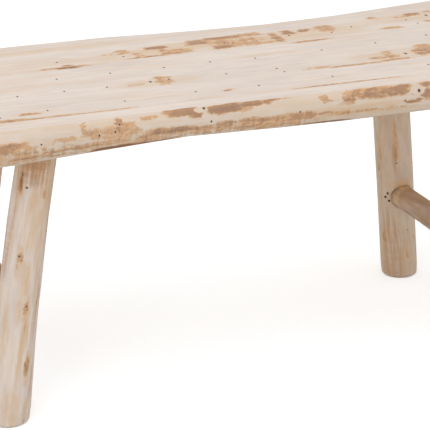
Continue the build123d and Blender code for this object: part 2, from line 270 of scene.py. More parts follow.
POLE_LEGS = {
    "leg_front_left": {
        "label": "Front left leg", "seed": 2.3, "scattered": 0.0, "skin": 0.12, "mottle": 0.05,
        "stains": [
            (-318, -151, 330, 60, 10, 0.85), (-327, -156, 290, 60, 8, 0.8),
            # The stain at a height of 385 darkens the top of the leg under the seat: painted shade.
            (-335, -142, 385, 26, 34, 1.0), (-352, -140, 356, 26, 8, 0.78),
            (-321, -152, 338, 30, 9, 0.88), (-335, -155, 318, 30, 9, 0.75),
            (-341, -157, 288, 42, 7, 0.75), (-326, -148, 285, 60, 5, 0.62),
            (-362, -157, 240, 26, 6, 0.69), (-356, -163, 213, 30, 8, 0.94),
            (-338, -158, 222, 46, 4, 0.69), (-361, -166, 174, 24, 10, 0.94),
            (-385, -160, 140, 44, 5, 0.62), (-359, -168, 140, 44, 4, 0.94),
            (-348, -164, 140, 60, 3.5, 0.69), (-367, -171, 108, 56, 5, 0.78),
            (-359, -170, 85, 28, 6, 0.94), (-386, -174, 30, 30, 14, 0.6), (-366, -174, 20, 24, 5, 0.69),
        ],
        "grime_and_shade_marks": [
            # The wide smudge at a height of 376 is painted shade under the seat, and the long thin
            # smudges, 2.5 to 3 mm across, darken the sides of the leg: painted shade.
            (-331, -150, 376, 34, 26, 0.62), (-350, -138, 360, 30, 7, 0.5),
            (-349, -141, 357, 20, 2.6, 1.25), (-314, -150, 352, 36, 8, 0.35),
            (-366, -130, 296, 90, 16, 0.56), (-352, -152, 290, 60, 5, 0.3),
            (-378, -126, 200, 120, 6, 0.2), (-309, -144, 330, 100, 3, 0.62),
            (-326, -152, 262, 70, 2.5, 0.5), (-342, -159, 160, 70, 2.5, 0.55),
            (-351, -164, 78, 60, 3, 0.5), (-336, -150, 110, 120, 5, 0.28),
            (-358, -168, 140, 55, 2.5, 0.25),
        ],
        "patches": [
            # The patch at a height of 384 darkens the top of the leg under the seat: painted shade.
            (-350, -141, 353, 18, 3, 1.0), (-327, -148, 384, 18, 14, 0.62),
            (-321, -152, 336, 8, 3.5, 0.4), (-360, -157, 247, 6, 4, 0.7),
            (-364, -157, 238, 10, 2, 0.42), (-356, -166, 177, 7, 3.6, 0.9),
            (-358, -169, 166, 8, 2, 0.6), (-359, -168, 150, 16, 1.6, 0.5),
            (-357, -170, 96, 14, 3, 0.55), (-361, -171, 84, 12, 4, 0.7), (-366, -174, 12, 7, 1.4, 0.8),
        ],
        "knots": [(-344, -148, 346, 1.9), (-360, -156, 250, 2.2), (-356, -166, 178, 1.7)],
        "swells": [(-360, -156, 250, 12, 0.8), (-356, -166, 177, 14, 1.0), (-344, -148, 346, 12, 0.8)],
    },
    "leg_front_right": {
        "label": "Front right leg", "seed": 6.8, "scattered": 0.62, "skin": 0.35, "mottle": 0.06,
        "stains": [(345, -150, 300, 60, 9, 0.7), (365, -165, 120, 70, 9, 0.7)],
        # The wide smudge at a height of 376 is painted shade on the top of the leg under the seat.
        "grime_and_shade_marks": [(331, -150, 376, 34, 24, 0.5), (350, -160, 230, 60, 5, 0.3)],
        "patches": [(340, -150, 330, 30, 3, 0.6), (372, -172, 90, 24, 3, 0.6)],
        "knots": [(352, -160, 240, 2.0), (372, -170, 130, 2.2)],
        "swells": [(352, -160, 240, 12, 0.9), (372, -170, 130, 13, 0.9)],
    },
    "leg_rear_left": {
        "label": "Rear left leg", "seed": 11.9, "scattered": 0.6, "skin": 0.45, "mottle": 0.1,
        "stains": [(-330, 115, 260, 60, 9, 0.7), (-350, 130, 100, 70, 9, 0.7)],
        "grime_and_shade_marks": [(-330, 110, 300, 60, 5, 0.4), (-352, 130, 60, 60, 14, 0.25)],
        "patches": [(-332, 112, 280, 30, 3, 0.6), (-352, 130, 90, 24, 3, 0.6)],
        "knots": [(-334, 112, 220, 2.0), (-352, 180, 120, 2.2)],
        "swells": [(-334, 112, 220, 12, 0.9)],
    },
    "leg_rear_right": {
        "label": "Rear right leg", "seed": 15.5, "scattered": 0.0, "skin": 0.3, "mottle": 0.1,
        "stains": [
            (329, 107, 246, 44, 6, 0.8), (313, 126, 225, 40, 5, 0.7), (343, 113, 172, 8, 22, 0.9),
            (330, 138, 75, 22, 9, 0.8), (361, 122, 50, 24, 5, 0.7), (360, 124, 28, 24, 5, 0.6),
            (339, 138, 20, 20, 7, 0.6), (337, 125, 95, 26, 7, 0.6),
        ],
        "grime_and_shade_marks": [
            # The thin smudges at the leg's sides, such as the one at x 366, are painted shade; the wide
            # low ones make the leg darker towards its foot.
            (315, 130, 190, 90, 7, 0.38), (330, 140, 80, 60, 6, 0.3), (338, 130, 58, 80, 22, 0.49),
            (326, 103, 270, 50, 3.5, 0.4), (330, 109, 220, 30, 4.5, 0.5), (350, 123, 50, 50, 24, 0.24),
            (366, 124, 60, 50, 4, 0.35), (341, 132, 30, 22, 4, 0.3),
        ],
        "patches": [
            (329, 107, 250, 36, 2.6, 0.4), (331, 109, 225, 14, 2, 0.75), (314, 131, 198, 10, 2, 0.95),
            (313, 126, 217, 15, 2.4, 0.5), (330, 138, 73, 10, 4, 0.6), (363, 122, 49, 12, 2.2, 0.6),
            (375, 126, 71, 9, 2.4, 0.45), (306, 117, 286, 3, 3, 0.5),
        ],
        "knots": [(333, 110, 210, 1.9), (361, 120, 88, 1.2)],
        "swells": [(333, 110, 210, 14, 1.0)],
    },
}

STRETCHERS = {
    "stretcher_left": {
        "label": "Left stretcher", "seed": 3.9, "scattered": 0.15, "skin": 0.1, "mottle": 0.1,
        "knots": [(-341, 20, 158, 1.7)],
    },
    "stretcher_right": {
        "label": "Right stretcher", "seed": 8.1, "scattered": 0.0, "skin": 0.0, "mottle": 0.1,
        # The stain at the joint with the leg lightens the wood where the leg's shade falls: painted
        # light.
        "stains": [(333, 104, 157, 9, 26, 0.6)],
        "grime_and_shade_marks": [(341, 60, 150, 60, 12, 0.2)],
        "knots": [(341, -20, 158, 1.7)],
    },
}


# ---------------------------------------------------------------------------------- settings
def colour_setting(name, value, description):
    return FloatVectorProperty(
        name=name, description=description, default=value, subtype="COLOR_GAMMA", min=0, max=1
    )


def length_setting(name, value, description, least=0):
    return FloatProperty(
        name=name, description=description, default=value, min=least, unit="LENGTH"
    )


def amount_setting(name, value, description, least=0):
    return FloatProperty(name=name, description=description, default=value, min=least)


class LogBenchWood(bpy.types.PropertyGroup):
    pale: colour_setting("Pale wood", (0.919, 0.864, 0.822), "Planed sapwood of the seat")
    warm: colour_setting("Warm streak", (0.888, 0.792, 0.695), "Long warm streaks in the wood")
    grey: colour_setting("Grey streak", (0.862, 0.815, 0.788), "Cool streaks in the wood")
    leg_pale: colour_setting("Leg wood", (0.926, 0.876, 0.838), "Peeled surface of the legs")
    leg_warm: colour_setting("Leg streak", (0.868, 0.722, 0.552), "Tan streaks of the legs")
    # The rear leg wood is the leg wood darkened to paint the shade of the seat over the rear legs.
    rear_leg_painted_shade: colour_setting("Rear leg wood", (0.862, 0.793, 0.722), "Browner wood of a rear leg")
    stretcher: colour_setting("Stretcher wood", (0.675, 0.526, 0.388), "Peeled stretchers")
    stain: colour_setting("Light stain", (0.872, 0.768, 0.650), "Yellowish trace of inner bark")
    bark_tan: colour_setting("Tan inner bark", (0.838, 0.668, 0.510), "Thin left-over inner bark")
    bark_brown: colour_setting("Brown inner bark", (0.672, 0.502, 0.388), "Thick inner bark")
    # The tint of the smudges, which are partly dirt and partly painted shade.
    grime_and_shade_tint: colour_setting("Grime And Shade Tint", (0.545, 0.365, 0.235), "Smudges that handling and the ground left")
    knot: colour_setting("Pin knot", (0.210, 0.140, 0.100), "Core of a pin knot")
    end: colour_setting("End grain", (0.760, 0.660, 0.540), "Sawn ends and feet")
    steel: colour_setting("Brad steel", (0.20, 0.16, 0.13), "Dulled steel of the brads")
    tarnish: colour_setting("Tarnish", (0.36, 0.26, 0.19), "Brown tarnish on the brads")


class LogBenchShape(bpy.types.PropertyGroup):
    edge_grain: length_setting(
        "Edge pole faces", 0.0020, "Size of the remade faces of the two outer seat poles", 0.001
    )
    seat_grain: length_setting(
        "Inner pole faces", 0.0026, "Size of the remade faces of the inner seat poles", 0.001
    )
    leg_grain: length_setting(
        "Round pole faces", 0.0018, "Size of the remade faces of legs and stretchers", 0.001
    )
    spare: length_setting(
        "Spare wood", 0.008, "How far a sawn side is pushed out before it is cut flat", 0.004
    )
    ripple: length_setting("Ripple", 0.0012, "Depth of the slow ripples on natural faces")
    brad_stand: length_setting(
        "Brad stand-off", 0.0007, "How far the middles of the brads' heads stand clear of the legs"
    )


class LogBenchStage(bpy.types.PropertyGroup):
    camera_place: FloatVectorProperty(
        name="Camera place",
        description="Where the camera stands",
        default=(-1.1320, -3.0088, 1.4507),
        subtype="XYZ",
        unit="LENGTH",
    )
    camera_turn: FloatVectorProperty(
        name="Camera turn",
        description="Which way the camera looks",
        default=(math.radians(68.83), 0, math.radians(-20.38)),
        subtype="EULER",
        unit="ROTATION",
    )
    lens: amount_setting("Lens", 192.56, "Focal length on a 36 mm wide sensor, in millimetres", 20)
    sky: amount_setting("Sky", 0.74, "Strength of the even light all round")
    softbox: amount_setting("Softbox", 14, "Power of the overhead softbox, in watts")
    fill: amount_setting("Fill", 17, "Power of the front fill light, in watts")


def wood():
    return bpy.context.scene.log_bench_wood


def shape():
    return bpy.context.scene.log_bench_shape


def stage():
    return bpy.context.scene.log_bench_stage


# ---------------------------------------------------------------------------- node building
WHITE = (1.0, 1.0, 1.0, 1.0)
NOWHERE = (0.0, 0.0, 0.0)
HALF = (0.5, 0.5, 0.5)
MARK = {"Vector": NOWHERE, "Centre": NOWHERE, "Reach": (1.0, 1.0, 1.0)}  # any mark's own inputs
SOCKET_KINDS = {0: "NodeSocketFloat", 3: "NodeSocketVector", 4: "NodeSocketColor"}
MIX_SHARE, MIX_FIRST, MIX_SECOND, MIXED = 0, 6, 7, 2  # a Mix node's sockets when it mixes colours
GROUPS = {}  # the shader groups that were made so far, by their builders


def linear(colour):
    """An RGBA value in scene colours, from a colour as it looks on screen."""
    return (*Color(colour).from_srgb_to_scene_linear(), 1.0)


def new_material(name):
    """A material with an empty node tree."""
    material = bpy.data.materials.new(name)
    material.use_nodes = True
    material.node_tree.nodes.clear()
    return material, material.node_tree


def add_node(tree, kind, inputs=(), **settings):
    """Adds a node. inputs maps its sockets to values, or to the sockets that feed them."""
    made = tree.nodes.new(kind)
    for name, value in settings.items():
        setattr(made, name, value)
    for key, value in dict(inputs).items():
        if isinstance(value, bpy.types.NodeSocket):
            tree.links.new(value, made.inputs[key])
        else:
            made.inputs[key].default_value = value
    return made


def tree_of(*values):
    """The node tree that holds the first socket among these values."""
    return next(v for v in values if isinstance(v, bpy.types.NodeSocket)).id_data


def maths(operation, *values, clamp=False):
    inputs = dict(enumerate(values))
    settings = {"operation": operation, "use_clamp": clamp}
    return add_node(tree_of(*values), "ShaderNodeMath", inputs, **settings).outputs[0]


def times(*values):
    """The product of two or more values."""
    return reduce(lambda product, value: maths("MULTIPLY", product, value), values)


def times_plus(value, factor, term):
    """value times factor, plus term."""
    return maths("MULTIPLY_ADD", value, factor, term)


def vector_maths(operation, *values):
    inputs = dict(enumerate(values))
    made = add_node(tree_of(*values), "ShaderNodeVectorMath", inputs, operation=operation)
    return made.outputs["Value" if operation in ("LENGTH", "DOT_PRODUCT") else "Vector"]


def scaled(vector, factor):
    return vector_maths("MULTIPLY", vector, factor)


def moved(vector, step):
    return vector_maths("ADD", vector, step)


def length(vector):
    return vector_maths("LENGTH", vector)


def ramp(value, low, high, bottom=0.0, top=1.0):
    """A smooth step from bottom to top while value goes from low to high."""
    inputs = {"Value": value, "From Min": low, "From Max": high, "To Min": bottom, "To Max": top}
    settings = {"interpolation_type": "SMOOTHSTEP"}
    return add_node(tree_of(value), "ShaderNodeMapRange", inputs, **settings).outputs["Result"]


def band(value, low, full, fade, gone):
    """1 where value lies from full to fade, and 0 below low and above gone."""
    return times(ramp(value, low, full), ramp(value, fade, gone, 1.0, 0.0))


def mix_colour(share, first, second):
    inputs = {MIX_SHARE: share, MIX_FIRST: first, MIX_SECOND: second}
    made = add_node(tree_of(share, first), "ShaderNodeMix", inputs, data_type="RGBA")
    return made.outputs[MIXED]


def noise(vector, waves, detail=2.0, roughness=0.5, output="Fac"):
    """Noise of the given number of waves for each metre along and across the grain."""
    inputs = {
        "Vector": scaled(vector, waves),
        "Scale": 1.0,
        "Detail": detail,
        "Roughness": roughness,
    }
    return add_node(tree_of(vector), "ShaderNodeTexNoise", inputs).outputs[output]


def wobble(vector, waves, reach):
    """A small random step that changes along and across the grain."""
    step = noise(vector, waves, detail=2.0, output="Color")
    return scaled(vector_maths("SUBTRACT", step, HALF), reach)


def new_group(name, inputs, outputs):
    """An empty shader group. inputs and outputs map the names of its sockets to starting values,
    which tell their kinds: a number, a vector of three or a colour of four."""
    group = bpy.data.node_groups.new(name, "ShaderNodeTree")
    for in_out, sockets in (("INPUT", inputs), ("OUTPUT", outputs)):
        for label, value in sockets.items():
            kind = SOCKET_KINDS[len(value) if isinstance(value, tuple) else 0]
            socket = group.interface.new_socket(label, in_out=in_out, socket_type=kind)
            socket.default_value = value
    return group, group.nodes.new("NodeGroupInput").outputs


def close_group(group, **outputs):
    """Feeds the sockets that a group puts out, and gives the group."""
    add_node(group, "NodeGroupOutput", outputs)
    return group


def use_group(build, inputs):
    """Places a group, which its builder makes once, and gives its output sockets."""
    if build not in GROUPS:
        GROUPS[build] = build()
    tree = tree_of(*inputs.values())
    return add_node(tree, "ShaderNodeGroup", inputs, node_tree=GROUPS[build]).outputs


# ---------------------------------------------------------------------------- shader groups
def grain_group():
    """Growth rings round the pith, long streaks and fine fibres, in a pole's own coordinates."""
    inputs = {"Vector": NOWHERE, "Seed": 0.0, "Ring Gap": 0.0034, "Warmth": 0.5, "Mottle": 0.03}
    woods = {"Pale": WHITE, "Warm": WHITE, "Grey": WHITE}
    outputs = {"Color": WHITE, "Rings": 0.0, "Height": 0.0}
    group, given = new_group("Pole Grain", inputs | woods, outputs)
    place = moved(given["Vector"], given["Seed"])

    # growth rings, bent a little along the pole so that a planed face shows long flames
    bend = wobble(place, (2.6, 14, 14), (0, 0.030, 0.030))
    across = scaled(moved(given["Vector"], bend), (0, 1, 1))
    phase = maths("FRACT", maths("DIVIDE", length(across), given["Ring Gap"]))
    rings = band(phase, 0.45, 0.92, 0.92, 1.0)

    wide = noise(place, (7, 36, 36), detail=3.0)
    streak = noise(place, (10, 150, 150), detail=3.0, roughness=0.65)
    cool = noise(moved(place, (3, 5, 7)), (9, 48, 48))
    light = noise(moved(place, (9, 2, 4)), (16, 110, 110))
    tone = noise(place, (3.0, 9, 9), detail=1.0)
    cloudy = noise(place, (24, 70, 70), detail=3.0, roughness=0.6)
    fibre = noise(place, (30, 900, 900), detail=3.0, roughness=0.7)

    warm_share = maths("ADD", ramp(wide, 0.46, 0.70, 0, 0.53), given["Warmth"])
    warm_share = times(warm_share, ramp(streak, 0.34, 0.66, 0.15, 1.0))
    colour = mix_colour(warm_share, given["Pale"], given["Warm"])
    colour = mix_colour(ramp(cool, 0.50, 0.72, 0, 0.32), colour, given["Grey"])
    clouds = times(ramp(cloudy, 0.36, 0.64, 1.0, -0.3), given["Mottle"])
    shade = times(
        times_plus(rings, -0.030, 1.0),
        ramp(fibre, 0.25, 0.75, 0.945, 1.03),
        ramp(tone, 0.3, 0.7, 0.965, 1.02),
        ramp(light, 0.35, 0.65, 0.978, 1.02),
        maths("SUBTRACT", 1.0, clouds),
    )
    height = times_plus(streak, 0.5, times_plus(fibre, 0.55, times(rings, 0.3)))
    return close_group(group, Color=scaled(colour, shade), Rings=rings, Height=height)


def scattered_group():
    """A weak field of inner bark scattered over natural faces, and none where Bare is 1."""
    inputs = {"Vector": NOWHERE, "Amount": 0.5, "Bare": 0.0}
    group, given = new_group("Scattered Bark", inputs, {"Field": 0.0})
    spots = noise(given["Vector"], (6.5, 30, 30), detail=1.0)
    natural = maths("SUBTRACT", 1.0, given["Bare"], clamp=True)
    return close_group(group, Field=times(ramp(spots, 0.48, 0.72), given["Amount"], natural))


def from_centre(given):
    """How far a place is from a mark's centre, in shares of the mark's reach, as a vector."""
    away = vector_maths("SUBTRACT", given["Vector"], given["Centre"])
    return vector_maths("DIVIDE", away, given["Reach"])


def patch_group():
    """Adds one patch to a field: full at its centre, gone past its reach, and squarish."""
    inputs = {"Field": 0.0, "Strength": 1.0}
    group, given = new_group("Bark Patch", inputs | MARK, {"Field": 0.0})
    away = vector_maths("ABSOLUTE", from_centre(given))
    cubes = vector_maths("DOT_PRODUCT", scaled(away, away), away)
    here = ramp(maths("POWER", cubes, 1 / 3), 0.55, 1.35, 1.0, 0.0)
    here = times(here, given["Strength"])
    return close_group(group, Field=maths("MAXIMUM", here, given["Field"]))


def bark_group():
    """Turns three fields into what the peeling left: a light stain, over it ragged inner bark,
    tan where it is thin and brown where it is thick, and over both dark smudges that are partly dirt
    and partly painted shade. Chatter is how far the bark breaks into bars across the grain, and Amber
    how far it turns yellow."""
    inputs = {"Color": WHITE, "Vector": NOWHERE, "Chatter": 1.0, "Amber": 0.3}
    fields = {"Stain": 0.0, "Field": 0.0, "Grime And Shade": 0.0}
    tints = {"Light": WHITE, "Tan": WHITE, "Brown": WHITE, "Grime And Shade Tint": WHITE}
    outputs = {"Color": WHITE, "Cover": 0.0}
    group, given = new_group("Inner Bark", inputs | fields | tints, outputs)
    vector, field = given["Vector"], given["Field"]
    ragged = noise(vector, (140, 220, 220), detail=4.0, roughness=0.68)
    specks = noise(vector, (420, 620, 620), detail=2.0)
    broad = noise(vector, (40, 100, 100), detail=1.0)
    bars = maths("SUBTRACT", noise(vector, (200, 15, 15), detail=3.0), 0.5)
    long_streak = noise(vector, (9, 170, 170), detail=3.0)
    hue = noise(vector, (16, 60, 60), detail=1.0)

    # how thick the bark is: the field, made ragged
    uneven = times_plus(broad, 1.4, times_plus(ragged, 2.3, -1.85))
    uneven = maths("ADD", uneven, times(bars, given["Chatter"]))
    thickness = maths("ADD", times_plus(field, 1.4, -0.18), uneven)
    somewhere = ramp(field, 0.03, 0.2)
    cover = times(ramp(thickness, 0.08, 0.62), somewhere)

    # its colour, darker along its rim, in bars across the grain and in streaks along it
    fine = times_plus(specks, 0.8, maths("SUBTRACT", thickness, 0.4))
    bark = mix_colour(ramp(fine, 0.58, 1.34), given["Tan"], given["Brown"])
    bark = scaled(bark, times_plus(bars, 0.34, 1.0))
    bark = scaled(bark, times_plus(maths("SUBTRACT", long_streak, 0.5), 0.9, 1.0))
    amber = times(ramp(hue, 0.42, 0.58), given["Amber"])
    bark = mix_colour(amber, bark, scaled(bark, (1.04, 0.975, 0.82)))
    rim = band(thickness, 0.1, 0.26, 0.26, 0.5)
    bark = scaled(bark, times_plus(rim, -0.10, 1.0))

    # the light stain below it, and over both the smudges, which are partly dirt and partly painted
    # shade
    faint = times_plus(broad, 0.4, times(long_streak, 0.6))
    stain = times(ramp(faint, 0.32, 0.62, 0.3, 1.0), given["Stain"])
    thin = times(ramp(thickness, -0.35, 0.25, 0, 0.8), somewhere)
    stain = maths("MAXIMUM", stain, thin, clamp=True)
    colour = mix_colour(stain, given["Color"], given["Light"])
    colour = mix_colour(times(cover, 0.88), colour, bark)
    grime_and_shade_share = ramp(times_plus(bars, 0.2, long_streak), 0.32, 0.60, 0.3, 1.0)
    grime_and_shade_share = times(grime_and_shade_share, given["Grime And Shade"])
    colour = mix_colour(ramp(grime_and_shade_share, 0.0, 0.8, 0, 0.75), colour, given["Tan"])
    colour = mix_colour(ramp(grime_and_shade_share, 0.2, 1.2, 0, 0.9), colour, given["Grime And Shade Tint"])
    return close_group(group, Color=colour, Cover=cover)


def knot_group():
    """Adds one pin knot: a dark core, a tan ring and a pale halo."""
    fields = {"Core": 0.0, "Ring": 0.0, "Halo": 0.0}
    group, given = new_group("Pin Knot", fields | MARK, fields)
    away = length(from_centre(given))
    outputs = {}
    for label, near, far in (("Core", 0.75, 1.1), ("Ring", 1.0, 2.0), ("Halo", 2.0, 4.5)):
        outputs[label] = maths("MAXIMUM", ramp(away, near, far, 1.0, 0.0), given[label])
    return close_group(group, **outputs)


def knot_colour_group():
    """Lays the halo, ring and core of the pin knots over the wood."""
    inputs = {"Color": WHITE, "Core": 0.0, "Ring": 0.0, "Halo": 0.0}
    tints = {"Pale": WHITE, "Tan": WHITE, "Dark": WHITE}
    group, given = new_group("Knot Colour", inputs | tints, {"Color": WHITE})
    colour = given["Color"]
    for label, tint, share in (("Halo", "Pale", 0.12), ("Ring", "Tan", 0.45), ("Core", "Dark", 1.0)):
        colour = mix_colour(times(given[label], share), colour, given[tint])
    return close_group(group, Color=colour)


def shake_group():
    """Bends a place by fine noise, so that the outlines of patches drawn there come out ragged."""
    group, given = new_group("Shaken Place", {"Vector": NOWHERE}, {"Vector": NOWHERE})
    vector = given["Vector"]
    for waves, reach in (
        ((45, 120, 120), (0.022, 0.0055, 0.0055)),
        ((170, 480, 480), (0.008, 0.003, 0.003)),
    ):
        vector = moved(vector, wobble(given["Vector"], waves, reach))
    return close_group(group, Vector=vector)


def eye_group():
    """The pale eye round a large knot: thins a field and leaves a thin broken rim."""
    fields = {"Field": 0.0, "Rim": 0.0}
    group, given = new_group("Knot Eye", fields | MARK, fields)
    away = length(from_centre(given))
    broken = noise(given["Vector"], (110, 110, 110), detail=1.0)
    outer = band(away, 0.84, 0.97, 0.97, 1.1)
    inner = band(away, 0.46, 0.55, 0.55, 0.64)
    rim = times(times_plus(inner, 0.5, outer), ramp(broken, 0.38, 0.56))
    thinned = times(given["Field"], ramp(away, 0.8, 1.15))
    return close_group(group, Field=thinned, Rim=maths("MAXIMUM", rim, given["Rim"]))


def end_grain_group():
    """Darkens sawn ends, and shows the growth rings and small drying checks there."""
    inputs = {"Color": WHITE, "End Color": WHITE, "Rings": 0.0, "Seed": 0.0}
    places = {"Vector": NOWHERE, "Along": (1.0, 0.0, 0.0), "Normal": (0.0, 0.0, 1.0)}
    group, given = new_group("End Grain", inputs | places, {"Color": WHITE, "Ends": 0.0})
    facing = maths("ABSOLUTE", vector_maths("DOT_PRODUCT", given["Normal"], given["Along"]))
    ends = ramp(facing, 0.80, 0.93)
    across = scaled(given["Vector"], (0, 1, 1))
    round_pith = moved(vector_maths("NORMALIZE", across), given["Seed"])
    spokes = noise(round_pith, (2.4, 2.4, 2.4), detail=2.0)
    checks = times(ramp(spokes, 0.63, 0.70), ramp(length(across), 0.004, 0.02))
    shade = times(times_plus(given["Rings"], -0.28, 1.0), times_plus(checks, -0.55, 1.0))
    sawn = scaled(given["End Color"], shade)
    return close_group(group, Color=mix_colour(times(ends, 0.85), given["Color"], sawn), Ends=ends)


# --------------------------------------------------------------------------------- materials
def millimetres(*values):
    """Lengths given in millimetres, in metres."""
    return tuple(value / 1000 for value in values)


def pole_material(name, marks, centre, turn, pale, warm, planed, warmth):
    """Peeled or planed wood of one pole. centre and turn place the pole's own coordinates, which
    run along its grain, and planed tells whether its upward faces are free of bark."""
    material, tree = new_material(name)
    colours = wood()
    pose = Matrix.LocRotScale(Vector(centre), Euler(turn), None)
    in_bench = add_node(tree, "ShaderNodeTexCoord").outputs["Object"]
    inputs = {"Vector": in_bench, "Location": centre, "Rotation": turn}
    own = add_node(tree, "ShaderNodeMapping", inputs, vector_type="TEXTURE").outputs["Vector"]
    height_up = add_node(tree, "ShaderNodeSeparateXYZ", {"Vector": in_bench}).outputs["Z"]
    normal = add_node(tree, "ShaderNodeNewGeometry").outputs["Normal"]
    inputs = {
        "Vector": own,
        "Seed": marks["seed"],
        "Pale": linear(pale),
        "Warm": linear(warm),
        "Grey": linear(colours.grey),
        "Warmth": warmth,
        "Mottle": marks.get("mottle", 0.025),
    }
    grain = use_group(grain_group, inputs)
    seeded = moved(own, (marks["seed"], 0.3 * marks["seed"], 0.0))
    shaken = use_group(shake_group, {"Vector": own})["Vector"]

    def mark_at(vector, place, along, across):
        """A mark's inputs. Its centre lies on the rippled surface of a round pole."""
        x, y, z = place if len(place) == 3 else (*place, 1000 * SEAT_TOP)
        centre = pose.inverted() @ Vector(millimetres(x, y, z))
        if not planed:
            centre.yz = centre.yz * (1 + RIPPLES_STAND / centre.yz.length)
        return {"Vector": vector, "Centre": centre, "Reach": millimetres(along, across, across)}

    def with_patches(field, key):
        """The field with this kind of the pole's patches added."""
        for *place, along, across, strength in marks.get(key, ()):
            inputs = mark_at(shaken, place, along, across)
            inputs |= {"Field": field, "Strength": strength}
            field = use_group(patch_group, inputs)["Field"]
        return field

    # what the peeling left: on a planed pole, no bark is scattered on faces that look upwards, and
    # no stain lies all over the level ones
    bare, skin = 0.0, marks["skin"]
    if planed:
        up = add_node(tree, "ShaderNodeSeparateXYZ", {"Vector": normal}).outputs["Z"]
        bare = ramp(up, -0.35, 0.05)
        level = ramp(up, 0.93, 0.99)
        skin = times(maths("SUBTRACT", 1.0, level), skin)
    inputs = {"Vector": seeded, "Amount": marks["scattered"], "Bare": bare}
    field = with_patches(use_group(scattered_group, inputs)["Field"], "patches")
    rim = 0.0
    for *place, along, across in marks.get("eyes", ()):
        inputs = mark_at(own, place, along, across) | {"Field": field, "Rim": rim}
        field, rim = use_group(eye_group, inputs).values()
    inputs = {
        "Color": grain["Color"],
        "Vector": seeded,
        "Stain": with_patches(skin, "stains"),
        "Field": field,
        # the smudges are partly dirt and partly painted shade
        "Grime And Shade": with_patches(0.0, "grime_and_shade_marks"),
        "Grime And Shade Tint": linear(colours.grime_and_shade_tint),
        "Chatter": ramp(height_up, *CHATTER_HEIGHTS, *marks.get("chatter", (1.2, 1.2))),
        "Amber": marks.get("amber", 0.2),
        "Light": linear(colours.stain if planed else warm),
        "Tan": linear(colours.bark_tan),
        "Brown": linear(colours.bark_brown),
    }
    bark = use_group(bark_group, inputs)

    # pin knots, which are wider across the grain on the planed top
    core, ring, halo = 0.0, 0.0, 0.0
    for *place, radius in marks.get("knots", ()):
        wide = 1.15 if len(place) == 3 else 1.9
        inputs = mark_at(own, place, CORE * radius, CORE * wide * radius)
        inputs |= {"Core": core, "Ring": ring, "Halo": halo}
        core, ring, halo = use_group(knot_group, inputs).values()
    inputs = {
        "Color": bark["Color"],
        "Core": core,
        "Ring": maths("MAXIMUM", ring, rim) if marks.get("knots") else rim,
        "Halo": halo,
        "Pale": linear(pale),
        "Tan": linear(colours.bark_brown),
        "Dark": linear(colours.knot),
    }
    inputs = {
        "Color": use_group(knot_colour_group, inputs)["Color"],
        "Vector": own,
        "Along": pose.to_3x3() @ Vector((1, 0, 0)),
        "Normal": normal,
        "Rings": grain["Rings"],
        "Seed": marks["seed"],
        "End Color": linear(colours.end),
    }
    ends = use_group(end_grain_group, inputs)

    height = times_plus(bark["Cover"], 0.55, grain["Height"])
    height = times_plus(core, -1.2, height)
    inputs = {"Strength": 0.45, "Distance": 0.0006, "Height": height}
    bump = add_node(tree, "ShaderNodeBump", inputs).outputs["Normal"]
    clean_rough, bark_rough, sawn_rougher = 0.62, 0.80, 0.12
    rough = ramp(bark["Cover"], 0.0, 1.0, clean_rough, bark_rough)
    rough = times_plus(ends["Ends"], sawn_rougher, rough)
    inputs = {"Base Color": ends["Color"], "Roughness": rough, "Normal": bump}
    shader = add_node(tree, "ShaderNodeBsdfPrincipled", inputs)
    add_node(tree, "ShaderNodeOutputMaterial", {"Surface": shader.outputs["BSDF"]})
    return material


def brad_material():
    """Dulled steel with brown tarnish."""
    material, tree = new_material("Tarnished brad steel")
    place = add_node(tree, "ShaderNodeTexCoord").outputs["Object"]
    tarnish = noise(place, (900, 900, 900), detail=3.0)
    steel, brown = linear(wood().steel), linear(wood().tarnish)
    inputs = {
        "Base Color": mix_colour(ramp(tarnish, 0.35, 0.65), steel, brown),
        "Metallic": ramp(tarnish, 0.35, 0.65, 0.85, 0.15),
        "Roughness": ramp(tarnish, 0.3, 0.7, 0.42, 0.75),
    }
    shader = add_node(tree, "ShaderNodeBsdfPrincipled", inputs)
    add_node(tree, "ShaderNodeOutputMaterial", {"Surface": shader.outputs["BSDF"]})
    return material


def floor_material():
    """Pale studio floor that looks white and keeps a soft shadow."""
    material, tree = new_material("Studio floor")
    seen = add_node(tree, "ShaderNodeLightPath").outputs["Is Camera Ray"]
    inputs = {"Color": (0.85, 0.865, 0.875, 1), "Roughness": 1.0}
    matt = add_node(tree, "ShaderNodeBsdfDiffuse", inputs)
    glow = add_node(tree, "ShaderNodeEmission", {"Color": WHITE, "Strength": times(seen, 0.42)})
    both = add_node(tree, "ShaderNodeAddShader", {0: matt.outputs[0], 1: glow.outputs[0]})
    add_node(tree, "ShaderNodeOutputMaterial", {"Surface": both.outputs[0]})
    return material


# ---------------------------------------------------------------------------------- modelling
def choose_nothing():
    """Leaves nothing selected, in object mode."""
    if bpy.context.object is not None and bpy.context.object.mode != "OBJECT":
        bpy.ops.object.mode_set(mode="OBJECT")
    for other in bpy.context.view_layer.objects:
        other.select_set(False)


def choose(piece):
    """Leaves only this piece selected and active, in object mode."""
    choose_nothing()
    piece.select_set(True)
    bpy.context.view_layer.objects.active = piece


def edit_all(piece):
    """Enters edit mode with the whole piece selected."""
    choose(piece)
    bpy.ops.object.mode_set(mode="EDIT")
    bpy.ops.mesh.select_all(action="SELECT")


def edit_vertices(piece, wanted):
    """Enters edit mode with the vertices selected for which wanted is true."""
    choose(piece)
    bpy.ops.object.mode_set(mode="EDIT")
    bpy.ops.mesh.select_all(action="DESELECT")
    work = bmesh.from_edit_mesh(piece.data)
    for vertex in work.verts:
        if wanted(vertex):
            vertex.select_set(True)
    work.select_flush(True)
    bmesh.update_edit_mesh(piece.data)


def leave_edit_mode():
    bpy.ops.object.mode_set(mode="OBJECT")


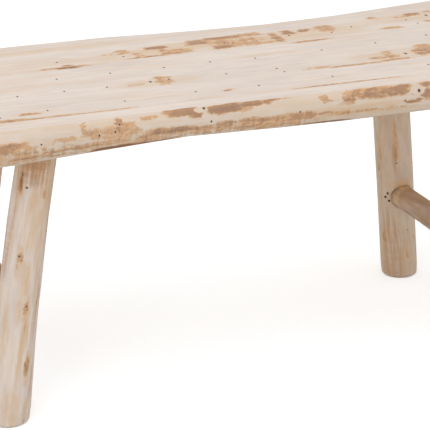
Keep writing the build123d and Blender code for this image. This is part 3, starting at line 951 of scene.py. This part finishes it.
def copy_of_node(node_name, label):
    """A merged copy of a solid, in an object of its own that takes the solid's place."""
    source = frame["nodes"][node_name]
    piece = source.copy()
    piece.data = source.data.copy()
    for key in [k for k in piece.keys() if k.startswith("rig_")]:
        del piece[key]
    piece.name = label.replace(" ", "_")
    piece.parent = None
    piece.hide_render = piece.hide_viewport = False
    piece.data.materials.clear()
    bpy.context.scene.collection.objects.link(piece)
    edit_all(piece)
    bpy.ops.mesh.remove_doubles(threshold=0.00001)
    bpy.ops.mesh.normals_make_consistent(inside=False)
    leave_edit_mode()
    return piece


def apply_all(piece):
    choose(piece)
    for name in [modifier.name for modifier in piece.modifiers]:
        bpy.ops.object.modifier_apply(modifier=name)


def remake(piece, size, passes):
    """Remakes a piece in even faces of this size, and softens it in so many passes."""
    remesh = piece.modifiers.new("Even faces", "REMESH")
    remesh.mode = "VOXEL"
    remesh.voxel_size = size
    smooth = piece.modifiers.new("Soften", "SMOOTH")
    smooth.factor = 0.5
    smooth.iterations = passes
    apply_all(piece)


def group_vertices(piece, wanted):
    """A vertex group of the vertices for which wanted is true."""
    group = piece.vertex_groups.new(name="natural")
    group.add([v.index for v in piece.data.vertices if wanted(v)], 1.0, "REPLACE")
    return group


def ripple(piece, group, depth, level, stretch, turn=(0, 0, 0)):
    """Ripples the grouped faces in slow waves stretched along the grain. level is the share of
    depth that the waves sink below the surface, and turn is the way the grain runs."""
    cloud = bpy.data.textures.new("Ripple", "CLOUDS")
    cloud.noise_scale = 0.25
    cloud.noise_depth = 2
    guide = bpy.data.objects.new("Ripple guide", None)
    bpy.context.scene.collection.objects.link(guide)
    guide.rotation_euler = turn
    guide.scale = stretch
    bpy.context.view_layer.update()
    made = piece.modifiers.new("Ripple", "DISPLACE")
    made.texture = cloud
    made.texture_coords = "OBJECT"
    made.texture_coords_object = guide
    made.strength = depth
    made.mid_level = level
    made.vertex_group = group.name
    apply_all(piece)
    bpy.data.objects.remove(guide)
    bpy.data.textures.remove(cloud)


def raise_knots(piece, swells):
    """Lifts the surface round each knot, in a soft swell."""
    for x, y, z, radius, rise in swells:
        spot = Vector(millimetres(x, y, z))
        choose(piece)
        mesh = piece.data
        nearest = min(mesh.vertices, key=lambda v: (v.co - spot).length_squared)
        lift = nearest.normal * (rise / 1000)
        bpy.ops.object.mode_set(mode="EDIT")
        work = bmesh.from_edit_mesh(mesh)
        work.verts.ensure_lookup_table()
        bpy.ops.mesh.select_all(action="DESELECT")
        work.verts[nearest.index].select_set(True)
        bmesh.update_edit_mesh(mesh)
        bpy.ops.transform.translate(
            value=lift,
            use_proportional_edit=True,
            use_proportional_connected=True,
            proportional_edit_falloff="SMOOTH",
            proportional_size=radius / 1000,
        )
        leave_edit_mode()


def finish_piece(piece, node_name, material, angle=0.6):
    """Shades a piece, gives it its material and puts it in its solid's place."""
    choose(piece)
    bpy.ops.object.shade_smooth_by_angle(angle=angle)
    piece.vertex_groups.clear()
    piece.data.materials.clear()
    piece.data.materials.append(material)
    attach(piece, "root")
    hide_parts(node_name)


def seat_pole(node_name, marks):
    """One pole of the seat. Its sawn sides are pushed outwards, the whole is remade in even faces
    and softened, its natural faces are rippled, and the sawn sides are cut flat again."""
    sizes = shape()
    piece = copy_of_node(node_name, marks["label"])
    low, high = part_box(node_name)
    front, back = (None if seam is None else seam / 1000 for seam in marks["seams"])
    for seam, out in ((front, -sizes.spare), (back, sizes.spare)):
        if seam is not None:
            edit_vertices(piece, lambda v: abs(v.co.y - seam) < HAIR)
            bpy.ops.transform.translate(value=(0, out, 0))
            leave_edit_mode()

    remake(piece, sizes.edge_grain if None in marks["seams"] else sizes.seat_grain, passes=6)
    skin = group_vertices(
        piece, lambda v: v.co.z < SEAT_TOP - HAIR and abs(v.co.x) < SEAT_END - 3 * HAIR
    )
    ripple(piece, skin, sizes.ripple, level=0.68, stretch=(0.9, 0.25, 0.25))
    raise_knots(piece, marks.get("swells", ()))
    edit_vertices(piece, lambda v: v.co.z > SEAT_TOP - HAIR / 2)
    bpy.ops.transform.resize(value=(1, 1, 0), center_override=(0, 0, SEAT_TOP))
    leave_edit_mode()

    # cut the sawn sides flat
    near = low.y - PAST_SEAT if front is None else front
    far = high.y + PAST_SEAT if back is None else back
    choose_nothing()
    bpy.ops.mesh.primitive_cube_add(size=1, location=(0, (near + far) / 2, SEAT_TOP))
    keep = bpy.context.object
    keep.scale = (3, far - near, 1)  # longer and taller than any pole
    cut = piece.modifiers.new("Sawn sides", "BOOLEAN")
    cut.operation = "INTERSECT"
    cut.solver = "EXACT"
    cut.object = keep
    apply_all(piece)
    bpy.data.meshes.remove(keep.data)
    name, pith = marks["label"] + " wood", (0, *millimetres(*marks["pith"]))
    colours = {"pale": wood().pale, "warm": wood().warm}
    material = pole_material(name, marks, pith, NOWHERE, planed=True, warmth=0.12, **colours)
    finish_piece(piece, node_name, material)


def pole_line(node_name):
    """Two points on a round pole's axis, from its solid: the middles of two thin slices, which lie
    clear of the pole's tenons."""
    slice_points = 80
    low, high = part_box(node_name)
    axis, shares = (2, (0.04, 0.86)) if node_name in POLE_LEGS else (1, (0.2, 0.8))
    points = [v.co for v in frame["nodes"][node_name].data.vertices]
    middles = []
    for share in shares:
        level = low[axis] + (high[axis] - low[axis]) * share
        near = sorted(points, key=lambda p: abs(p[axis] - level))[:slice_points]
        middles.append(sum(near, Vector()) / slice_points)
    return middles


def round_pole(node_name, marks, pale, warmth):
    """A leg or a stretcher: remade in small even faces, rippled, and swollen at its knots."""
    sizes = shape()
    start, finish = pole_line(node_name)
    turn = (finish - start).normalized().to_track_quat("X", "Z").to_euler()
    piece = copy_of_node(node_name, marks["label"])
    remake(piece, sizes.leg_grain, passes=5)
    skin = group_vertices(piece, lambda v: v.co.z > FOOT_EDGE)
    depth, level = sizes.ripple, 0.5
    if node_name in POLE_LEGS:
        # a leg's ripples are deeper, stand almost wholly out of it and fade away above its foot
        depth, level = 1.6 * sizes.ripple, 0.08
        for v in piece.data.vertices:
            if FOOT_EDGE < v.co.z < FOOT_EDGE + FOOT_FADE:
                skin.add([v.index], (v.co.z - FOOT_EDGE) / FOOT_FADE, "REPLACE")
    ripple(piece, skin, depth, level, stretch=(1.0, 0.2, 0.2), turn=turn)
    raise_knots(piece, marks.get("swells", ()))
    name, colours = marks["label"] + " wood", {"pale": pale, "warm": wood().leg_warm}
    material = pole_material(name, marks, start, turn, planed=False, warmth=warmth, **colours)
    finish_piece(piece, node_name, material)


# ---------------------------------------------------------------------------------- operators
class LOGBENCH_OT_seat_poles(bpy.types.Operator):
    """Dress the five seat poles: planed tops, natural edges, inner bark and pin knots"""

    bl_idname = "log_bench.seat_poles"
    bl_label = "Seat Poles"

    def execute(self, context):
        for node_name, marks in SEAT_POLES.items():
            seat_pole(node_name, marks)
        return {"FINISHED"}


class LOGBENCH_OT_legs(bpy.types.Operator):
    """Dress the four splayed legs as peeled poles"""

    bl_idname = "log_bench.legs"
    bl_label = "Legs"

    def execute(self, context):
        for node_name, marks in POLE_LEGS.items():
            # a rear leg gets wood darkened to paint the shade of the seat over it
            pale = wood().rear_leg_painted_shade if "rear" in node_name else wood().leg_pale
            round_pole(node_name, marks, pale, warmth=0.08)
        return {"FINISHED"}


class LOGBENCH_OT_stretchers(bpy.types.Operator):
    """Dress the two end stretchers as thin peeled poles"""

    bl_idname = "log_bench.stretchers"
    bl_label = "Stretchers"

    def execute(self, context):
        for node_name, marks in STRETCHERS.items():
            round_pole(node_name, marks, wood().stretcher, warmth=0.2)
        return {"FINISHED"}


class LOGBENCH_OT_brads(bpy.types.Operator):
    """Ease the edges of the brads, seat their heads on the dressed legs and tarnish them"""

    bl_idname = "log_bench.brads"
    bl_label = "Brads"

    def execute(self, context):
        piece = copy_of_node("stretcher_brads", "Brads")
        bevel = piece.modifiers.new("Eased heads", "BEVEL")
        bevel.width = EASED
        bevel.segments = 2
        bevel.limit_method = "ANGLE"
        apply_all(piece)
        edit_all(piece)
        bpy.ops.mesh.separate(type="LOOSE")
        leave_edit_mode()
        brads = list(context.selected_objects)
        for brad in brads:
            leg, head, out = self.head_of([v.co.copy() for v in brad.data.vertices])
            found, surface, _, _ = leg.ray_cast(head + out * leg.dimensions.z, -out)
            if not found:
                raise RuntimeError("A brad misses its leg")
            edit_all(brad)
            bpy.ops.transform.translate(value=surface + out * shape().brad_stand - head)
            leave_edit_mode()
        for brad in brads:
            brad.select_set(True)
        context.view_layer.objects.active = piece
        bpy.ops.object.join()
        finish_piece(piece, "stretcher_brads", brad_material(), angle=1.2)
        return {"FINISHED"}

    @staticmethod
    def head_of(places):
        """A brad's leg, the middle of its head, which is its end far from the leg's axis, and
        the direction from its tip to its head."""
        middle = sum(places, Vector()) / len(places)
        end = "front" if middle.y < 0 else "rear"
        side = "left" if middle.x < 0 else "right"
        node_name = f"leg_{end}_{side}"
        start, finish = pole_line(node_name)
        axis = (finish - start).normalized()
        from_axis = [axis.cross(place - start).length for place in places]
        furthest = max(from_axis)
        head = [p for p, away in zip(places, from_axis) if away > furthest - BRAD_HEAD]
        head = sum(head, Vector()) / len(head)
        tip = max(places, key=lambda p: (p - head).length)
        leg = bpy.data.objects[POLE_LEGS[node_name]["label"].replace(" ", "_")]
        return leg, head, (head - tip).normalized()


class LOGBENCH_OT_tongues(bpy.types.Operator):
    """Give the loose tongues hidden in the seams their sawn wood"""

    bl_idname = "log_bench.tongues"
    bl_label = "Seam Tongues"

    def execute(self, context):
        marks = {"seed": 21.0, "scattered": 0.0, "skin": 0.0}
        heart, across_seat = (0, 0, 0.3), (0, 0, math.pi / 2)
        looks = {"pale": wood().warm, "warm": wood().bark_tan, "planed": True, "warmth": 0.5}
        material = pole_material("Tongue wood", marks, heart, across_seat, **looks)
        tongues = frame["nodes"]["seam_tongues"]
        tongues.data.materials.clear()
        tongues.data.materials.append(material)
        return {"FINISHED"}


class LOGBENCH_OT_stage(bpy.types.Operator):
    """Set up the floor, the soft studio light and the camera"""

    bl_idname = "log_bench.stage"
    bl_label = "Stage"

    def execute(self, context):
        scene = context.scene
        choose_nothing()
        bpy.ops.mesh.primitive_plane_add(size=16, location=(0, 0, 0))
        floor = context.object
        floor.name = "Floor"
        floor.data.materials.append(floor_material())
        floor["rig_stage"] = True
        self.sky(scene, stage().sky)
        self.lamp("Overhead softbox", (-0.5, -0.5, 2.6), size=2.6, power=stage().softbox)
        self.lamp("Front fill", (-2.4, -3.4, 1.6), size=2.4, power=stage().fill)

        camera_data = bpy.data.cameras.new("Camera")
        camera_data.lens = stage().lens
        camera_data.sensor_width = 36
        camera_data.clip_end = 100
        camera = bpy.data.objects.new("Camera", camera_data)
        camera.location = stage().camera_place
        camera.rotation_euler = stage().camera_turn
        scene.collection.objects.link(camera)
        scene.camera = camera
        scene.view_settings.view_transform = "Standard"
        return {"FINISHED"}

    @staticmethod
    def lamp(name, place, size, power):
        """A square soft light that points at the middle of the bench."""
        light = bpy.data.lights.new(name, "AREA")
        light.shape = "SQUARE"
        light.size = size
        light.energy = power
        holder = bpy.data.objects.new(name, light)
        holder.location = place
        aim = Vector(LIGHTS_AIM) - Vector(place)
        holder.rotation_euler = aim.to_track_quat("-Z", "Y").to_euler()
        bpy.context.scene.collection.objects.link(holder)

    @staticmethod
    def sky(scene, strength):
        """Even light all round, which looks plain white itself."""
        world = bpy.data.worlds.new("Studio")
        scene.world = world
        world.use_nodes = True
        tree = world.node_tree
        tree.nodes.clear()
        rays = add_node(tree, "ShaderNodeLightPath").outputs
        seen = maths("MAXIMUM", rays["Is Camera Ray"], rays["Is Glossy Ray"])
        seen = maths("MAXIMUM", seen, rays["Is Transmission Ray"])
        shown = add_node(tree, "ShaderNodeBackground", {"Color": WHITE, "Strength": 1.0})
        light = add_node(tree, "ShaderNodeBackground", {"Color": WHITE, "Strength": strength})
        inputs = {0: seen, 1: light.outputs[0], 2: shown.outputs[0]}
        mixed = add_node(tree, "ShaderNodeMixShader", inputs)
        add_node(tree, "ShaderNodeOutputWorld", {"Surface": mixed.outputs[0]})


OPERATORS = (
    LOGBENCH_OT_seat_poles,
    LOGBENCH_OT_legs,
    LOGBENCH_OT_stretchers,
    LOGBENCH_OT_brads,
    LOGBENCH_OT_tongues,
    LOGBENCH_OT_stage,
)


class LOGBENCH_PT_panel(bpy.types.Panel):
    """Buttons and settings of the log bench"""

    bl_idname = "LOGBENCH_PT_panel"
    bl_label = "Log Bench"
    bl_space_type = "VIEW_3D"
    bl_region_type = "UI"
    bl_category = "Log Bench"

    def draw(self, context):
        layout = self.layout
        for operator in OPERATORS:
            layout.operator(operator.bl_idname)
        for title, settings in (
            ("Wood", context.scene.log_bench_wood),
            ("Shape", context.scene.log_bench_shape),
            ("Stage", context.scene.log_bench_stage),
        ):
            box = layout.box()
            box.label(text=title)
            for name in settings.bl_rna.properties.keys():
                if name not in ("rna_type", "name"):
                    box.prop(settings, name)


CLASSES = (LogBenchWood, LogBenchShape, LogBenchStage, *OPERATORS, LOGBENCH_PT_panel)


def register():
    for each in CLASSES:
        bpy.utils.register_class(each)
    bpy.types.Scene.log_bench_wood = PointerProperty(type=LogBenchWood)
    bpy.types.Scene.log_bench_shape = PointerProperty(type=LogBenchShape)
    bpy.types.Scene.log_bench_stage = PointerProperty(type=LogBenchStage)


def unregister():
    del bpy.types.Scene.log_bench_stage
    del bpy.types.Scene.log_bench_shape
    del bpy.types.Scene.log_bench_wood
    for each in reversed(CLASSES):
        bpy.utils.unregister_class(each)


def main():
    register()
    bpy.ops.log_bench.seat_poles()
    bpy.ops.log_bench.legs()
    bpy.ops.log_bench.stretchers()
    bpy.ops.log_bench.brads()
    bpy.ops.log_bench.tongues()
    bpy.ops.log_bench.stage()
    sizes = {"cad": cad_box, "visual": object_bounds()}
    sizes = {key: [[float(n) for n in corner] for corner in box] for key, box in sizes.items()}


if __name__ == "__main__":
    main()
